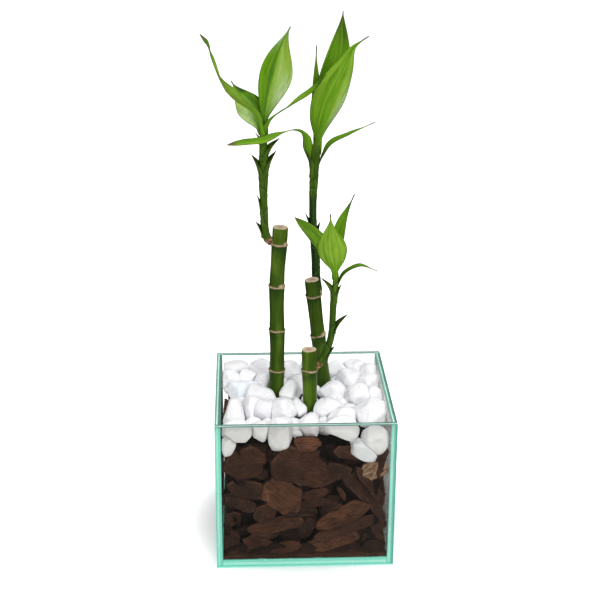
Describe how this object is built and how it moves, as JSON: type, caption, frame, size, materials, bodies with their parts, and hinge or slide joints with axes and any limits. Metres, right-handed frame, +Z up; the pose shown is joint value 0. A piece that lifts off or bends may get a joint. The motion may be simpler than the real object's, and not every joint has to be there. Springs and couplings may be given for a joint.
{
  "type": "lucky bamboo plant in glass pot",
  "caption": "Lucky bamboo: cut green canes with leafy side shoots, standing in bark chips topped with white pebbles in a square clear glass pot.",
  "frame": {"origin": "centre of the underside of the glass pot", "axes": "+Z up along the plant, +X to the right and -Y towards the viewer when seen from the front"},
  "size_m": [0.1258, 0.12, 0.3574],
  "materials": {
    "glass": "polished clear float glass, green at its cut edges",
    "bark": "rough dark bark chips",
    "pebble": "smooth white marble pebbles, matt",
    "cane": "smooth waxy green stem",
    "shoot": "smooth green stem in leaf sheaths",
    "leaf": "glossy green leaf with fine lengthwise veins"
  },
  "bodies": {
    "root": {"glass_front": "glass", "glass_back": "glass", "glass_left": "glass", "glass_right": "glass", "glass_base": "glass", "pebble_01": "pebble", "pebble_02": "pebble", "pebble_03": "pebble", "pebble_04": "pebble", "pebble_05": "pebble", "pebble_06": "pebble", "pebble_07": "pebble", "pebble_08": "pebble", "pebble_09": "pebble", "pebble_10": "pebble", "pebble_11": "pebble", "pebble_12": "pebble", "pebble_13": "pebble", "pebble_14": "pebble", "pebble_15": "pebble", "pebble_16": "pebble", "pebble_17": "pebble", "pebble_18": "pebble", "pebble_19": "pebble", "pebble_20": "pebble", "pebble_21": "pebble", "pebble_22": "pebble", "pebble_23": "pebble", "pebble_24": "pebble", "pebble_25": "pebble", "pebble_26": "pebble", "pebble_27": "pebble", "pebble_28": "pebble", "pebble_29": "pebble", "pebble_30": "pebble", "pebble_31": "pebble", "pebble_32": "pebble", "pebble_33": "pebble", "pebble_34": "pebble", "pebble_35": "pebble", "bark_chips": "bark", "cane_left": "cane", "cane_rear": "cane", "cane_front": "cane", "shoot_left": "shoot", "shoot_rear": "shoot", "shoot_front": "shoot", "leaf_left_upright": "leaf", "leaf_left_broad": "leaf", "leaf_left_right": "leaf", "leaf_left_long": "leaf", "leaf_rear_back": "leaf", "leaf_rear_front": "leaf", "leaf_rear_thin": "leaf", "leaf_rear_left": "leaf", "leaf_rear_right": "leaf", "leaf_front_right": "leaf", "leaf_front_left": "leaf", "leaf_front_broad": "leaf", "leaf_front_low": "leaf"}
  },
  "joints": []
}
